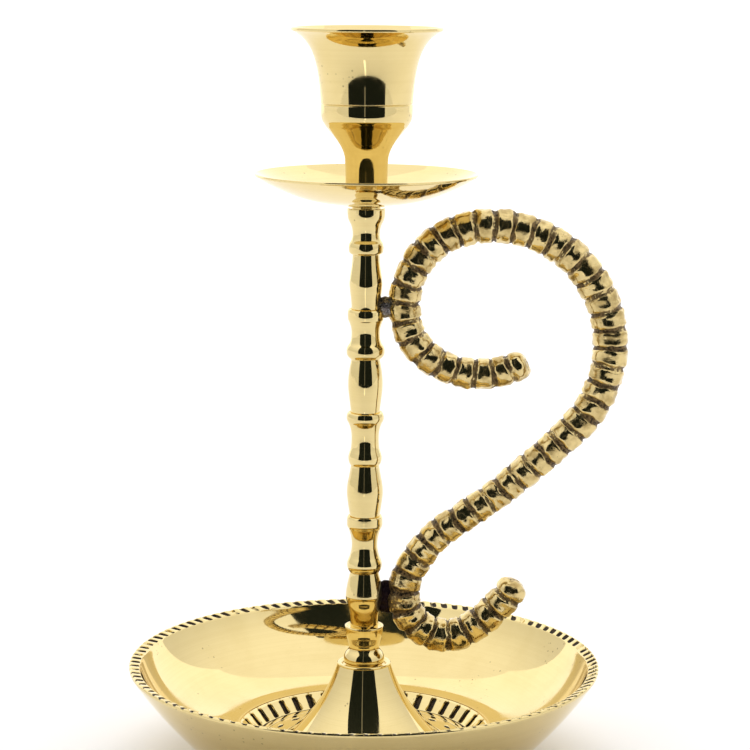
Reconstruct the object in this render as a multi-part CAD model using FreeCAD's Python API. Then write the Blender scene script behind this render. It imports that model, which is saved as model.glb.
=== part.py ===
"""Brass chamberstick: a dish with a notched rim, a bell foot, a turned stem strung on one tie rod,
a drip pan, a tulip candle cup and a ribbed S-shaped carrying handle soldered to the stem.

Millimetres. The origin is on the stem's axis in the plane that the dish stands on.
+Z is up the stem and +X points towards the handle.
"""
import FreeCAD, Part
import math
import os

V = FreeCAD.Vector
Z_AXIS = V(0, 0, 1)

# Fits and fixings
ROD_DIAMETER = 4.0
ROD_CLEARANCE = 0.15
THREAD_CLEARANCE = 0.05
SEAT_DEPTH = 0.6
SEAT_CLEARANCE = 0.05
WASHER_RADIUS = 5.0
WASHER_THICKNESS = 0.8
NUT_ACROSS_FLATS = 7.0
NUT_THICKNESS = 3.2
ROD_TAIL = 1.0
ROD_END_GAP = 0.5
EDGE = 0.1

# Dish: outside and inside are arcs that bulge from their chords by the two sags
RIM_RADIUS = 70.0
DISH_HEIGHT = 30.0
RIM_BAND = 3.2
RIM_EDGE = 0.5
OUTER_SAG = 1.4
INNER_SAG = 5.4
FOOT_RADIUS = 44.0
FOOT_RING_WIDTH = 4.0
FOOT_EDGE = 0.6
UNDERSIDE_TAPER = 1.2
FLOOR_TOP = 5.4
FLOOR_WALL = 1.6
WELL_RADIUS = 33.3
WELL_SLOPE = 3.5
BOSS_RADIUS = 13.0
BOSS_RISE = 4.0
BOSS_TAPER = 1.0

# Scoops in the rim and slots up the well's side
NOTCH_PITCH = 3.86
NOTCH_CUTTER_RADIUS = 1.35
NOTCH_DEPTH = 0.75
NOTCH_SLANT_DEG = 28.0
SLOT_PITCH = 5.0
SLOT_WIDTH = 2.0
SLOT_DEPTH = 0.8

# Bell foot
BELL_BASE_RADIUS = 24.5
BELL_HEIGHT = 24.2
BELL_EDGE = 0.8
BELL_WALL = 2.0
BELL_CROWN = 4.0
BELL_RIM_WALL = 1.7
BELL_RIM_EDGE = 0.3
BELL_SEAT_DEPTH = 1.0
BELL_SEAT_CLEARANCE = 0.2
# The flare as (share of the height, share of the flare's width)
BELL_FLARE = [(0.0, 1.0), (0.15, 0.7), (0.34, 0.46), (0.57, 0.24), (0.78, 0.1), (1.0, 0.0)]

# Stem pieces, from the bottom up.
# A spool is its length, lower band radius and height, waist radius and height, upper band radius and height.
# A barrel is its visible length, foot radius, belly radius and height, and head radius.
STEM = [
    ("spool", (12.2, 6.1, 2.3, 4.5, 5.2, 5.8, 0.9)),
    ("barrel", (16.4, 4.3, 5.75, 8.4, 4.4)),
    ("spool", (17.1, 5.2, 2.6, 3.85, 8.6, 5.3, 3.0)),
    ("barrel", (15.4, 4.5, 5.4, 7.2, 4.25)),
    ("spool", (15.8, 4.9, 3.2, 4.05, 8.4, 5.5, 2.0)),
    ("barrel", (16.0, 4.35, 5.1, 7.7, 4.2)),
    ("spool", (14.6, 5.6, 2.9, 4.2, 7.0, 5.3, 2.8)),
    ("barrel", (16.1, 4.2, 4.85, 7.3, 3.95)),
    ("spool", (13.4, 5.1, 2.8, 4.0, 5.9, 5.55, 2.9)),
]
BAND_EASE = 0.35
COLLAR_RADIUS = 4.2
COLLAR_HEIGHT = 0.7

# Drip pan
PAN_RADIUS = 32.5
PAN_DEPTH = 9.4
PAN_WALL = 1.0
PAN_SEAT_MARGIN = 0.8
# The brim as (share of the width, share of the rise)
PAN_BRIM = [(0.0, 0.0), (0.34, 0.11), (0.66, 0.4), (1.0, 1.0)]

# Candle cup
CUP_BORE_RADIUS = 11.25
CUP_BORE_FLOOR = 23.6
CUP_BORE_LENGTH = 14.0
CUP_BELLY_WALL = 1.95
CUP_NECK_WALL = 2.35
CUP_FLARE = 8.4
CUP_LIP = 1.2
CUP_LIP_EASE = 0.3
CUP_HEIGHT = 50.2
CUP_FOOT_RADIUS = 6.2
CUP_FOOT_HEIGHT = 11.5
CUP_BELLY_HEIGHT = 24.1
CUP_NECK_HEIGHT = 32.3
CUP_THREAD_GAP = 5.0
# Shares of the run and the rise: the funnel under the belly, the flare outside and the throat inside
CUP_FUNNEL = [(0.0, 0.0), (0.18, 0.27), (0.73, 0.71), (1.0, 1.0)]
CUP_OUTER_FLARE = [(0.0, 0.0), (0.13, 0.42), (0.42, 0.77), (1.0, 1.0)]
CUP_THROAT = [(0.0, 0.0), (0.35, 0.66), (1.0, 1.0)]

# Handle: heading at the upper tip, and the bends as (side, radius, degrees)
HANDLE_HEADING_DEG = 213.0
HANDLE_BENDS = [
    ("right", 25.5, 68.5),
    ("right", 17.0, 39.0),
    ("right", 23.2, 95.5),
    ("right", 35.0, 144.7),
    ("right", 220.0, 11.9),
    ("left", 36.0, 35.0),
    ("left", 12.8, 145.5),
    ("left", 47.0, 25.0),
]
HANDLE_TIP_RISE = 92.5
HANDLE_STANDOFF = 0.6
# Rod radius over the ribs at shares of the handle's length
HANDLE_GIRTH = [(0.0, 4.45), (0.15, 4.65), (0.5, 5.2), (0.7, 4.5), (0.88, 5.0), (1.0, 4.6)]
RIB_PITCH = 5.47
RIB_GROOVE = 1.9
RIB_GROOVE_DEPTH = 0.6
RIB_SHOULDER = 0.18
TIP_ANGLES_DEG = (25, 50, 72)

# Solder joints: rise of each one's middle above the stem's foot, and its length up the stem
SOLDER_JOINTS = {"upper_solder": (108.0, 8.0), "lower_solder": (20.9, 13.0)}
SOLDER_WIDTH = 5.0

rod_radius = ROD_DIAMETER / 2
bore_radius = rod_radius + ROD_CLEARANCE
thread_radius = rod_radius + THREAD_CLEARANCE
boss_top = FLOOR_TOP + BOSS_RISE
stem_foot = FLOOR_TOP + BELL_HEIGHT - BELL_SEAT_DEPTH


def at(radius, height):
    return V(radius, 0, height)


def lines(*points):
    return [Part.LineSegment(a, b).toShape() for a, b in zip(points, points[1:])]


def arc(a, middle, b):
    return Part.Arc(a, middle, b).toShape()


def sagging_arc(a, b, sag):
    """Arc from a up to b, bulging outwards and down from its chord by sag."""
    chord = b - a
    outwards = V(chord.z, 0, -chord.x).normalize()
    return arc(a, (a + b) / 2 + outwards * sag, b)


def waist_arc(end, radius, height):
    """Arc from a band's edge to the waist, where it runs straight up."""
    across = end.x - radius
    rise = end.z - height
    bend = (across ** 2 + rise ** 2) / (2 * across)
    half = math.asin(rise / bend) / 2
    middle = at(radius + bend * (1 - math.cos(half)), height + bend * math.sin(half))
    return arc(end, middle, at(radius, height))


def curve(start, end, shares):
    """Smooth curve from start to end through shares of the run and the rise between them."""
    spline = Part.BSplineCurve()
    spline.interpolate([at(start.x + run * (end.x - start.x), start.z + rise * (end.z - start.z))
                        for run, rise in shares])
    return spline.toShape()


def revolve(edges):
    """Turn a closed outline in the XZ plane about the stem's axis."""
    face = Part.Face(Part.Wire(Part.sortEdges(edges)[0]))
    return face.revolve(V(0, 0, 0), Z_AXIS, 360)


def ring(outer, inner, bottom, top):
    return revolve(lines(at(inner, bottom), at(outer, bottom), at(outer, top), at(inner, top), at(inner, bottom)))


def around(count, offset=0.0):
    """Evenly spaced outward directions about the stem's axis."""
    turns = [2 * math.pi * (index + offset) / count for index in range(count)]
    return [V(math.cos(turn), math.sin(turn), 0) for turn in turns]


def bar(radius, length, middle, along):
    """Round bar centred on a point."""
    return Part.makeCylinder(radius, length, middle - along * (length / 2), along)


def make_dish():
    """Cast dish: sloping outside, softly bowled inside, a sunken well and a raised boss for the rod."""
    rim_inner = at(RIM_RADIUS - RIM_BAND, DISH_HEIGHT)
    rim_outer = at(RIM_RADIUS, DISH_HEIGHT - RIM_EDGE)
    slope_top = at(WELL_RADIUS + WELL_SLOPE, FLOOR_TOP + WELL_SLOPE)
    foot_corner = at(FOOT_RADIUS + FOOT_EDGE, FOOT_EDGE)
    foot_inner = FOOT_RADIUS - FOOT_RING_WIDTH
    under_floor = FLOOR_TOP - FLOOR_WALL
    recess_radius = BOSS_RADIUS - FLOOR_WALL
    recess_top = boss_top - FLOOR_WALL
    floor = lines(
        at(bore_radius, boss_top),
        at(BOSS_RADIUS - BOSS_TAPER, boss_top),
        at(BOSS_RADIUS, FLOOR_TOP),
        at(WELL_RADIUS, FLOOR_TOP),
        slope_top,
    )
    bowl = sagging_arc(slope_top, rim_inner, INNER_SAG)
    rim = lines(rim_inner, at(RIM_RADIUS - RIM_EDGE, DISH_HEIGHT), rim_outer)
    outside = sagging_arc(foot_corner, rim_outer, OUTER_SAG)
    underside = lines(
        foot_corner,
        at(FOOT_RADIUS, 0),
        at(foot_inner, 0),
        at(foot_inner - UNDERSIDE_TAPER, under_floor),
        at(recess_radius, under_floor),
        at(recess_radius - BOSS_TAPER, recess_top),
        at(bore_radius, recess_top),
        at(bore_radius, boss_top),
    )
    dish = revolve(floor + [bowl] + rim + [outside] + underside)
    return dish.cut(Part.makeCompound(rim_notches() + well_slots()))


def rim_notches():
    """Slanted scoops across the rim band, cut by bars that lie just above it."""
    slant = math.radians(NOTCH_SLANT_DEG)
    length = 2 * RIM_BAND / math.cos(slant)
    height = DISH_HEIGHT - NOTCH_DEPTH + NOTCH_CUTTER_RADIUS
    cutters = []
    for outward in around(round(2 * math.pi * RIM_RADIUS / NOTCH_PITCH)):
        sideways = Z_AXIS.cross(outward)
        along = outward * math.cos(slant) + sideways * math.sin(slant)
        middle = outward * (RIM_RADIUS - RIM_BAND / 2) + Z_AXIS * height
        cutters.append(bar(NOTCH_CUTTER_RADIUS, length, middle, along))
    return cutters


def well_slots():
    """Round-bottomed slots up the well's sloping side."""
    radius = SLOT_WIDTH / 2
    length = WELL_SLOPE * math.sqrt(2) + radius
    middle_radius = WELL_RADIUS + WELL_SLOPE / 2
    cutters = []
    for outward in around(round(2 * math.pi * middle_radius / SLOT_PITCH), 0.5):
        off_slope = (Z_AXIS - outward).normalize()
        on_slope = outward * middle_radius + Z_AXIS * (FLOOR_TOP + WELL_SLOPE / 2)
        middle = on_slope + off_slope * (radius - SLOT_DEPTH)
        cutters.append(bar(radius, length, middle, (outward + Z_AXIS).normalize()))
    return cutters


def make_bell():
    """Hollow bell foot: flared outside, thin wall, solid crown with a seat for the stem."""
    seat_radius = STEM[0][1][1] + BELL_SEAT_CLEARANCE
    top_radius = seat_radius + BELL_RIM_WALL
    top = FLOOR_TOP + BELL_HEIGHT
    edge_top = FLOOR_TOP + BELL_EDGE
    crown_base = top - BELL_CROWN
    shares = [(1 - run, rise) for rise, run in BELL_FLARE]
    outer_foot = at(BELL_BASE_RADIUS, edge_top)
    outer_top = at(top_radius, top - BELL_RIM_EDGE)
    inner_foot = at(BELL_BASE_RADIUS - BELL_WALL, edge_top)
    inner_top = at(top_radius - BELL_WALL, crown_base)
    crown = lines(
        outer_top,
        at(top_radius - BELL_RIM_EDGE, top),
        at(seat_radius, top),
        at(seat_radius, stem_foot),
        at(bore_radius, stem_foot),
        at(bore_radius, crown_base),
        inner_top,
    )
    foot = lines(outer_foot, at(outer_foot.x, FLOOR_TOP), at(inner_foot.x, FLOOR_TOP), inner_foot)
    return revolve([curve(outer_foot, outer_top, shares), curve(inner_foot, inner_top, shares)] + crown + foot)


def make_spool(bottom, size, seat_radius):
    """Waisted piece between two bands, with a shallow seat in its top for the barrel above."""
    length, low_radius, low_height, waist_radius, waist_height, top_radius, top_height = size
    top = bottom + length
    low_edge = at(low_radius - BAND_EASE, bottom + low_height)
    high_edge = at(top_radius - BAND_EASE, top - top_height)
    low_band = lines(
        at(bore_radius, bottom),
        at(low_radius - BAND_EASE, bottom),
        at(low_radius, bottom + BAND_EASE),
        at(low_radius, bottom + low_height - BAND_EASE),
        low_edge,
    )
    waist = [waist_arc(edge, waist_radius, bottom + waist_height) for edge in (low_edge, high_edge)]
    high_band = lines(
        high_edge,
        at(top_radius, top - top_height + BAND_EASE),
        at(top_radius, top - EDGE),
        at(top_radius - EDGE, top),
        at(seat_radius, top),
        at(seat_radius, top - SEAT_DEPTH),
        at(bore_radius, top - SEAT_DEPTH),
        at(bore_radius, bottom),
    )
    return revolve(low_band + waist + high_band)


def make_barrel(bottom, size):
    """Bellied piece whose foot stands in the seat of the spool below."""
    length, foot_radius, belly_radius, belly_height, head_radius = size
    seat = bottom - SEAT_DEPTH
    foot = at(foot_radius, bottom)
    head = at(head_radius, bottom + length)
    belly = arc(foot, at(belly_radius, bottom + belly_height), head)
    core = lines(head, at(bore_radius, head.z), at(bore_radius, seat), at(foot_radius, seat), foot)
    return revolve([belly] + core)


def make_stem():
    """Spools and barrels by turns, and the height of the stem's top. The last spool carries the collar."""
    pieces = {}
    bottom = stem_foot
    seated_radii = [size[1] for kind, size in STEM if kind == "barrel"] + [COLLAR_RADIUS]
    for index, (kind, size) in enumerate(STEM):
        number = index // 2
        if kind == "spool":
            shape = make_spool(bottom, size, seated_radii[number] + SEAT_CLEARANCE)
        else:
            shape = make_barrel(bottom, size)
        pieces[f"stem_{kind}_{number + 1}"] = shape
        bottom += size[0]
    return pieces, bottom


def make_pan(bottom):
    """Thin saucer with a flat seat and a rising brim."""
    seat_radius = CUP_FOOT_RADIUS + PAN_SEAT_MARGIN
    under_seat = at(seat_radius, bottom)
    over_seat = at(seat_radius, bottom + PAN_WALL)
    under_rim = at(PAN_RADIUS, bottom + PAN_DEPTH - PAN_WALL)
    over_rim = at(PAN_RADIUS, bottom + PAN_DEPTH)
    brim = [curve(under_seat, under_rim, PAN_BRIM), curve(over_seat, over_rim, PAN_BRIM)]
    seat = lines(over_seat, at(bore_radius, over_seat.z), at(bore_radius, bottom), under_seat)
    return revolve(brim + lines(under_rim, over_rim) + seat)


def make_cup(bottom):
    """Tulip cup on a solid foot, bored for a candle and drilled below for the tie rod."""
    top = bottom + CUP_HEIGHT
    foot_edge = at(CUP_FOOT_RADIUS, bottom + CUP_FOOT_HEIGHT)
    belly = at(CUP_BORE_RADIUS + CUP_BELLY_WALL, bottom + CUP_BELLY_HEIGHT)
    neck = at(CUP_BORE_RADIUS + CUP_NECK_WALL, bottom + CUP_NECK_HEIGHT)
    mouth = neck.x + CUP_FLARE
    lip_base = at(mouth - CUP_LIP_EASE, top - CUP_LIP)
    lip_inner = at(mouth - CUP_LIP, top)
    bore_floor = bottom + CUP_BORE_FLOOR
    bore_top = at(CUP_BORE_RADIUS, bore_floor + CUP_BORE_LENGTH)
    thread_top = bore_floor - CUP_THREAD_GAP
    curves = [
        curve(foot_edge, belly, CUP_FUNNEL),
        curve(neck, lip_base, CUP_OUTER_FLARE),
        curve(bore_top, lip_inner, CUP_THROAT),
    ]
    lip = lines(lip_base, at(mouth, top - CUP_LIP / 2), at(mouth, top - EDGE), at(mouth - EDGE, top), lip_inner)
    inside = lines(
        bore_top,
        at(CUP_BORE_RADIUS, bore_floor),
        at(0, bore_floor),
        at(0, thread_top),
        at(thread_radius, thread_top),
        at(thread_radius, bottom),
        at(CUP_FOOT_RADIUS, bottom),
        foot_edge,
    )
    return revolve(curves + lines(belly, neck) + lip + inside)


def make_nut(top):
    corner_radius = NUT_ACROSS_FLATS / math.sqrt(3)
    bottom = at(0, top - NUT_THICKNESS)
    corners = [bottom + outward * corner_radius for outward in around(6)]
    blank = Part.Face(Part.makePolygon(corners + corners[:1])).extrude(Z_AXIS * NUT_THICKNESS)
    return blank.cut(Part.makeCylinder(thread_radius, NUT_THICKNESS, bottom, Z_AXIS))


def handle_line():
    """Length of the handle's centre line, and a function giving its point and heading, from its tip at zero."""
    x = z = start = 0.0
    heading = math.radians(HANDLE_HEADING_DEG)
    bends = []
    for side, radius, degrees in HANDLE_BENDS:
        signed = radius if side == "left" else -radius
        length = radius * math.radians(degrees)
        bends.append((start, length, signed, x, z, heading))
        turned = heading + length / signed
        x += signed * (math.sin(turned) - math.sin(heading))
        z -= signed * (math.cos(turned) - math.cos(heading))
        heading = turned
        start += length

    def place(distance):
        begin, _, signed, bend_x, bend_z, angle = next(
            (bend for bend in bends if distance <= bend[0] + bend[1]), bends[-1])
        turned = angle + (distance - begin) / signed
        point = V(bend_x + signed * (math.sin(turned) - math.sin(angle)), 0,
                  bend_z - signed * (math.cos(turned) - math.cos(angle)))
        return point, V(math.cos(turned), 0, math.sin(turned))

    return start, place


def girth(share):
    """Rod radius over the ribs, in straight steps between the given shares of the length."""
    for (low, low_radius), (high, high_radius) in zip(HANDLE_GIRTH, HANDLE_GIRTH[1:]):
        if share <= high:
            return low_radius + (high_radius - low_radius) * (share - low) / (high - low)
    return HANDLE_GIRTH[-1][1]


def handle_stations(length):
    """Distances along the handle and the rod's radius there: domed ends, and grooves between the ribs."""
    ribs = round(length / RIB_PITCH)
    pitch = length / ribs
    stations = []
    for index in range(1, ribs):
        groove = index * pitch
        radius = girth(groove / length)
        half = RIB_GROOVE / 2
        stations += [
            (groove - half, radius - RIB_SHOULDER),
            (groove - half / 2, radius - RIB_GROOVE_DEPTH),
            (groove + half / 2, radius - RIB_GROOVE_DEPTH),
            (groove + half, radius - RIB_SHOULDER),
            (groove + pitch / 2, radius),
        ]
    stations.pop()
    domes = [(math.radians(angle), girth(0), girth(1)) for angle in TIP_ANGLES_DEG]
    head = [(first * (1 - math.cos(angle)) * 0.5, first * math.sin(angle)) for angle, first, _ in domes]
    tail = [(length - last * (1 - math.cos(angle)) * 0.5, last * math.sin(angle)) for angle, _, last in domes]
    return head + stations + tail[::-1]


def make_handle(near_side):
    """Ribbed rod of round sections along the centre line, its nearest point to the stem at near_side."""
    length, place = handle_line()
    stations = handle_stations(length)
    nearest = min(place(distance)[0].x - radius for distance, radius in stations)
    tip = at(near_side - nearest, stem_foot + HANDLE_TIP_RISE)
    sections = []
    for distance, radius in stations:
        middle, along = place(distance)
        sections.append(Part.Wire(Part.Circle(tip + middle, along, radius).toShape()))
    return Part.makeLoft(sections, True, True)


def make_solder(rise, length, near_side, neighbours):
    """Round-ended lump of solder filling the gap between the stem and the handle."""
    radius = SOLDER_WIDTH / 2
    middle = at(near_side - HANDLE_STANDOFF / 2, stem_foot + rise)
    half = Z_AXIS * (length / 2 - radius)
    lump = bar(radius, 2 * half.z, middle, Z_AXIS)
    lump = lump.fuse([Part.makeSphere(radius, middle + half), Part.makeSphere(radius, middle - half)])
    lump = lump.removeSplitter().cut(neighbours)
    return max(lump.Solids, key=lambda solid: solid.Volume)


def build():
    stem, stem_top = make_stem()
    stem_outer = max(max(size[1], size[2] if kind == "barrel" else size[5]) for kind, size in STEM)
    near_side = stem_outer + HANDLE_STANDOFF
    pan_bottom = stem_top + COLLAR_HEIGHT
    cup_bottom = pan_bottom + PAN_WALL
    recess_top = boss_top - FLOOR_WALL
    nut_top = recess_top - WASHER_THICKNESS
    rod_bottom = nut_top - NUT_THICKNESS - ROD_TAIL
    rod_top = cup_bottom + CUP_BORE_FLOOR - CUP_THREAD_GAP - ROD_END_GAP
    handle = make_handle(near_side)
    nodes = {
        "dish": make_dish(),
        "bell_foot": make_bell(),
        **stem,
        "neck_collar": ring(COLLAR_RADIUS, bore_radius, stem_top - SEAT_DEPTH, pan_bottom),
        "drip_pan": make_pan(pan_bottom),
        "candle_cup": make_cup(cup_bottom),
        "tie_rod": Part.makeCylinder(rod_radius, rod_top - rod_bottom, at(0, rod_bottom), Z_AXIS),
        "base_washer": ring(WASHER_RADIUS, bore_radius, nut_top, recess_top),
        "base_nut": make_nut(nut_top),
        "handle": handle,
    }
    for name, (rise, length) in SOLDER_JOINTS.items():
        nodes[name] = make_solder(rise, length, near_side, [handle] + list(stem.values()))
    return nodes


os.makedirs("parts", exist_ok=True)
for name, shape in build().items():
    box = shape.optimalBoundingBox()
    print(f"{name:16s} valid {shape.isValid()} solids {len(shape.Solids)} volume {shape.Volume:9.1f} "
          f"x {box.XMin:6.1f} {box.XMax:6.1f} z {box.ZMin:6.1f} {box.ZMax:6.1f}")
    shape.exportStep(f"parts/{name}.step")
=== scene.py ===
import bpy
import math
from mathutils import Matrix, Vector, geometry, noise


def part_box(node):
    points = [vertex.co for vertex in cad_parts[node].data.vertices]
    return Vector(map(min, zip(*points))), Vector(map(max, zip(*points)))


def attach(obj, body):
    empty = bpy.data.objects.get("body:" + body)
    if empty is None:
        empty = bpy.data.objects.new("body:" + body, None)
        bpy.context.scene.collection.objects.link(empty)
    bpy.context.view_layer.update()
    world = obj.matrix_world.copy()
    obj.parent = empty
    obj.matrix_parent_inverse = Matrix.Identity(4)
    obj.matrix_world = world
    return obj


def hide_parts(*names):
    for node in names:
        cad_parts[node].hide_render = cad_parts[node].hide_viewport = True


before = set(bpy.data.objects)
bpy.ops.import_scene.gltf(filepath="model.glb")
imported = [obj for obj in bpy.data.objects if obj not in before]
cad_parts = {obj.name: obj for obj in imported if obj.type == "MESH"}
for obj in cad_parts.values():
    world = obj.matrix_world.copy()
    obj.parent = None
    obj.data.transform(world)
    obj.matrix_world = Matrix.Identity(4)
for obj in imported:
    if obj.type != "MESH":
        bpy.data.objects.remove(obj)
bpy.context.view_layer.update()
mm = 0.001
fullTurn = 2 * math.pi
weldGap = 0.002 * mm  # points closer than this become one


# Small helpers for nodes

def feed(tree, socket, value):
    # links another node's socket, or sets a fixed value
    if isinstance(value, bpy.types.NodeSocket):
        tree.links.new(value, socket)
    else:
        socket.default_value = value


def addNode(tree, kind, inputs=None, **settings):
    node = tree.nodes.new(kind)
    for name, value in settings.items():
        setattr(node, name, value)
    for socket, value in (inputs or {}).items():
        feed(tree, node.inputs[socket], value)
    return node


def addMath(tree, operation, first, second):
    return addNode(tree, "ShaderNodeMath", {0: first, 1: second}, operation=operation).outputs[0]


def addRange(tree, value, fromLow, fromHigh, toLow=0.0, toHigh=1.0):
    inputs = {"Value": value, 1: fromLow, 2: fromHigh, 3: toLow, 4: toHigh}
    return addNode(tree, "ShaderNodeMapRange", inputs, interpolation_type="SMOOTHSTEP").outputs[0]


def addBlend(tree, share, first, second):
    node = tree.nodes.new("ShaderNodeMix")
    node.data_type = "RGBA"
    for socket, value in ((0, share), (6, first), (7, second)):
        feed(tree, node.inputs[socket], value)
    return node.outputs[2]


def startGroup(name, inputs, outputs):
    tree = bpy.data.node_groups.new(name, "ShaderNodeTree")
    for label, kind, value in inputs:
        socket = tree.interface.new_socket(name=label, in_out="INPUT", socket_type=kind)
        socket.default_value = value
    for label, kind in outputs:
        tree.interface.new_socket(name=label, in_out="OUTPUT", socket_type=kind)
    return tree, tree.nodes.new("NodeGroupInput").outputs, tree.nodes.new("NodeGroupOutput").inputs


# Effects that several finishes share: a pair is the range of noise that a mask fades over

marksLook = {"coarseScale": 0.22, "tint": (0.42, 0.62)}
wearLook = {
    "smudge": (0.38, 0.68), "dot": (0.09, 0.2), "patchScale": 95.0, "patch": (0.58, 0.66),
    "hairTurn": (0.5, 0.9, 0.4), "hairScale": (60.0, 1900.0, 1900.0), "hair": (0.7, 0.78),
}
tarnishLook = {"mask": (0.32, 0.62), "shade": (0.38, 0.62)}


def addNoise(tree, place, scale, detail, roughness=0.5):
    inputs = {"Vector": place, "Scale": scale, "Detail": detail, "Roughness": roughness}
    return addNode(tree, "ShaderNodeTexNoise", inputs).outputs[0]


def makeTurningMarks():
    # fine rings left by the lathe: noise that varies only with radius and height
    tree, given, result = startGroup(
        "turningMarks",
        [("Lines per mm", "NodeSocketFloat", 3.0), ("Strength", "NodeSocketFloat", 1.0)],
        [("Tint", "NodeSocketFloat"), ("Height", "NodeSocketFloat")])
    place = addNode(tree, "ShaderNodeTexCoord").outputs["Object"]
    parts = addNode(tree, "ShaderNodeSeparateXYZ", {0: place}).outputs
    flat = addNode(tree, "ShaderNodeCombineXYZ", {0: parts[0], 1: parts[1]}).outputs[0]
    radius = addNode(tree, "ShaderNodeVectorMath", {0: flat}, operation="LENGTH").outputs["Value"]
    perMetre = addMath(tree, "MULTIPLY", given["Lines per mm"], 1 / mm)
    across = addMath(tree, "MULTIPLY", radius, perMetre)
    up = addMath(tree, "MULTIPLY", parts[2], perMetre)
    rings = addNode(tree, "ShaderNodeCombineXYZ", {0: across, 2: up}).outputs[0]
    fine = addMath(tree, "MULTIPLY", addNoise(tree, rings, 1.0, 2.0), 0.5)
    coarse = addMath(tree, "MULTIPLY", addNoise(tree, rings, marksLook["coarseScale"], 1.0), 0.5)
    both = addMath(tree, "ADD", fine, coarse)
    tree.links.new(addRange(tree, both, *marksLook["tint"]), result["Tint"])
    tree.links.new(addMath(tree, "MULTIPLY", both, given["Strength"]), result["Height"])
    return tree


def makeHandlingWear():
    # cloudy smudges from hands, a few dark specks and hair scratches
    tree, given, result = startGroup(
        "handlingWear",
        [("Smudge scale", "NodeSocketFloat", 60.0), ("Speck scale", "NodeSocketFloat", 420.0),
         ("Speck amount", "NodeSocketFloat", 0.3)],
        [("Smudge", "NodeSocketFloat"), ("Speck", "NodeSocketFloat"), ("Scratch", "NodeSocketFloat")])
    place = addNode(tree, "ShaderNodeTexCoord").outputs["Object"]
    cloud = addNoise(tree, place, given["Smudge scale"], 4.0, 0.6)
    tree.links.new(addRange(tree, cloud, *wearLook["smudge"]), result["Smudge"])
    dots = addNode(tree, "ShaderNodeTexVoronoi", {"Vector": place, "Scale": given["Speck scale"]})
    near = addRange(tree, dots.outputs["Distance"], *wearLook["dot"], 1.0, 0.0)
    patch = addNoise(tree, place, wearLook["patchScale"], 1.0)
    rare = addRange(tree, patch, *wearLook["patch"])
    speck = addMath(tree, "MULTIPLY", addMath(tree, "MULTIPLY", near, rare), given["Speck amount"])
    tree.links.new(speck, result["Speck"])
    stretch = {"Vector": place, "Rotation": wearLook["hairTurn"], "Scale": wearLook["hairScale"]}
    hair = addNoise(tree, addNode(tree, "ShaderNodeMapping", stretch).outputs[0], 1.0, 1.0)
    tree.links.new(addRange(tree, hair, *wearLook["hair"]), result["Scratch"])
    return tree


def makeRecessTarnish():
    # dark tarnish that lies in the cuts and grooves, broken up by noise
    tree, given, result = startGroup(
        "recessTarnish",
        [("Depth", "NodeSocketFloat", 0.0), ("Grain", "NodeSocketFloat", 700.0),
         ("Spread", "NodeSocketFloat", 0.5)],
        [("Mask", "NodeSocketFloat"), ("Shade", "NodeSocketFloat")])
    place = addNode(tree, "ShaderNodeTexCoord").outputs["Object"]
    grain = addNoise(tree, place, given["Grain"], 3.0, 0.65)
    shift = addMath(tree, "MULTIPLY", addMath(tree, "SUBTRACT", grain, 0.5), given["Spread"])
    depth = addMath(tree, "ADD", given["Depth"], shift)
    tree.links.new(addRange(tree, depth, *tarnishLook["mask"]), result["Mask"])
    tree.links.new(addRange(tree, grain, *tarnishLook["shade"]), result["Shade"])
    return tree


turningMarks = makeTurningMarks()
handlingWear = makeHandlingWear()
recessTarnish = makeRecessTarnish()


# Finishes

def startMaterial(name):
    material = bpy.data.materials.new(name)
    material.use_nodes = True
    tree = material.node_tree
    return material, tree, tree.nodes["Principled BSDF"]


def placeGroup(tree, group, inputs):
    node = tree.nodes.new("ShaderNodeGroup")
    node.node_tree = group
    for socket, value in inputs.items():
        feed(tree, node.inputs[socket], value)
    return node.outputs


def placeWear(tree, look):
    return placeGroup(tree, handlingWear, {
        "Smudge scale": look["smudgeScale"], "Speck scale": look["speckScale"],
        "Speck amount": look["speckAmount"]})


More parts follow.
